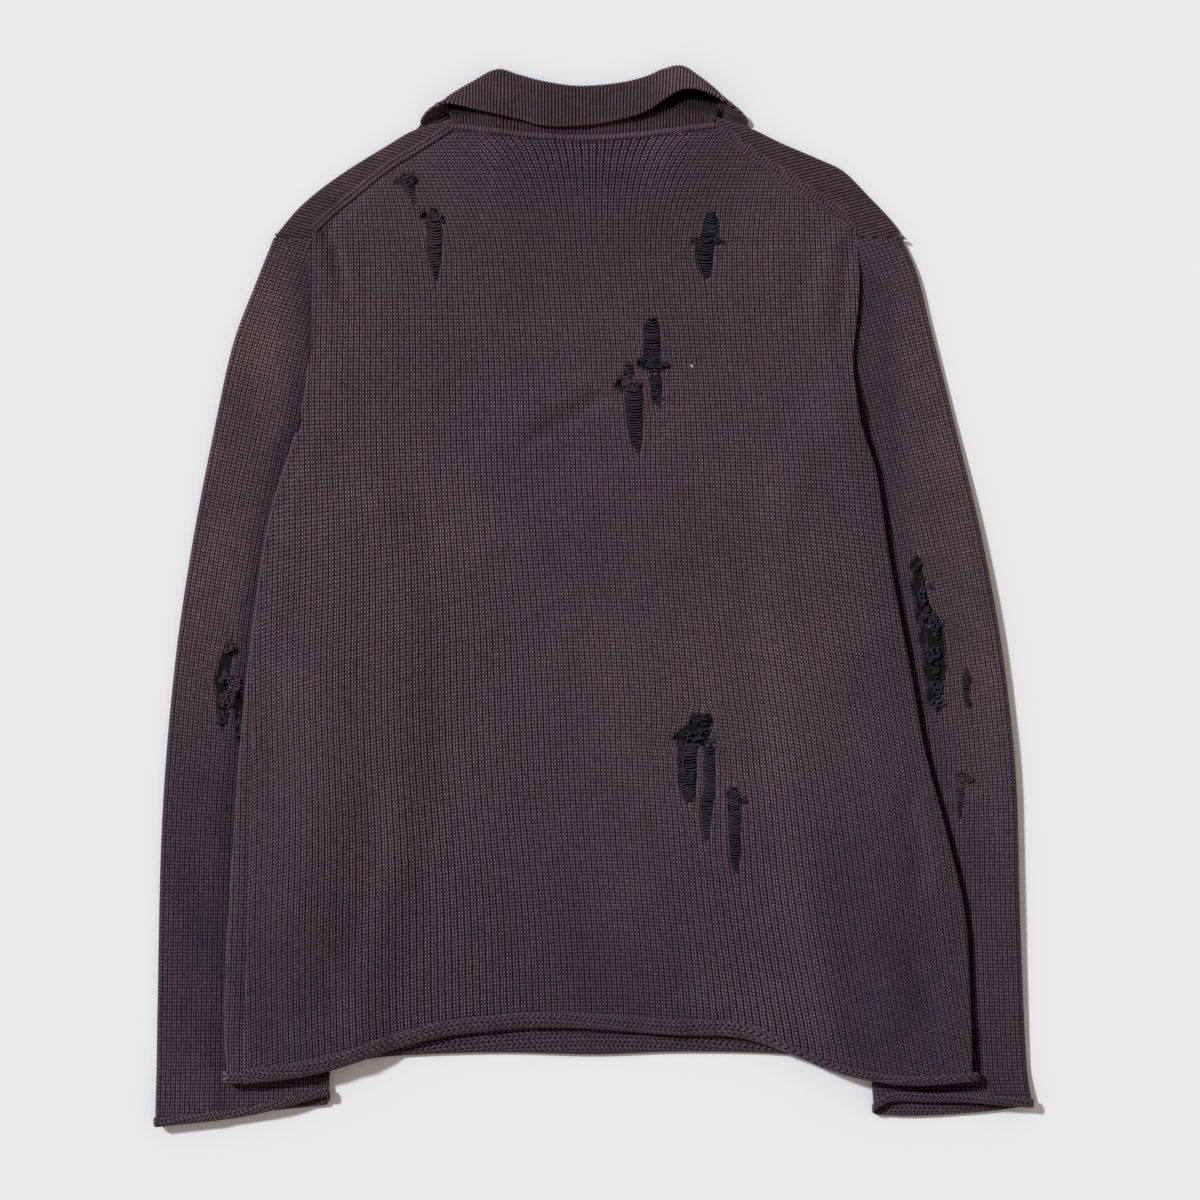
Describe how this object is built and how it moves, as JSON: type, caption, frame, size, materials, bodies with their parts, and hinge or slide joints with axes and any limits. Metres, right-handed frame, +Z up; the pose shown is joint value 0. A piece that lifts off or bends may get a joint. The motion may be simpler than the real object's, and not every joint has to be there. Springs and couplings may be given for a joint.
{
  "type": "darned wool sweater with a rib collar, laid flat",
  "caption": "Long-sleeved knitted wool sweater with a turned-down rib collar, lying flat with its back up, its laddered holes darned in dark yarn.",
  "frame": {"origin": "on the surface the sweater lies on, under the middle of its outline", "axes": "+X across the sweater towards the right sleeve, +Y along it from hem to collar, +Z up out of its back"},
  "size_m": [0.6332, 0.764, 0.0237],
  "materials": {
    "body_knit": "matt stocking-stitch wool, faded aubergine brown",
    "sleeve_knit": "matt stocking-stitch wool, faded to rust at the upper arms",
    "rib_knit": "matt fine rib wool",
    "seam_chain": "matt chain of linking yarn",
    "darning_yarn": "matt dark navy darning yarn"
  },
  "bodies": {
    "root": {"back_panel": "body_knit", "front_panel": "body_knit", "sleeve_left": "sleeve_knit", "sleeve_right": "sleeve_knit", "collar": "rib_knit", "neck_seam": "seam_chain", "shoulder_seam_left": "seam_chain", "shoulder_seam_right": "seam_chain", "darn_shoulder_left_upper": "darning_yarn", "darn_shoulder_left_lower": "darning_yarn", "darn_shoulder_right": "darning_yarn", "darn_middle_right": "darning_yarn", "darn_middle_left": "darning_yarn", "darn_waist_left": "darning_yarn", "darn_waist_right": "darning_yarn", "darn_low": "darning_yarn", "darn_sleeve_left": "darning_yarn", "darn_sleeve_right": "darning_yarn", "darn_sleeve_right_small": "darning_yarn", "darn_sleeve_right_low": "darning_yarn"}
  },
  "joints": []
}
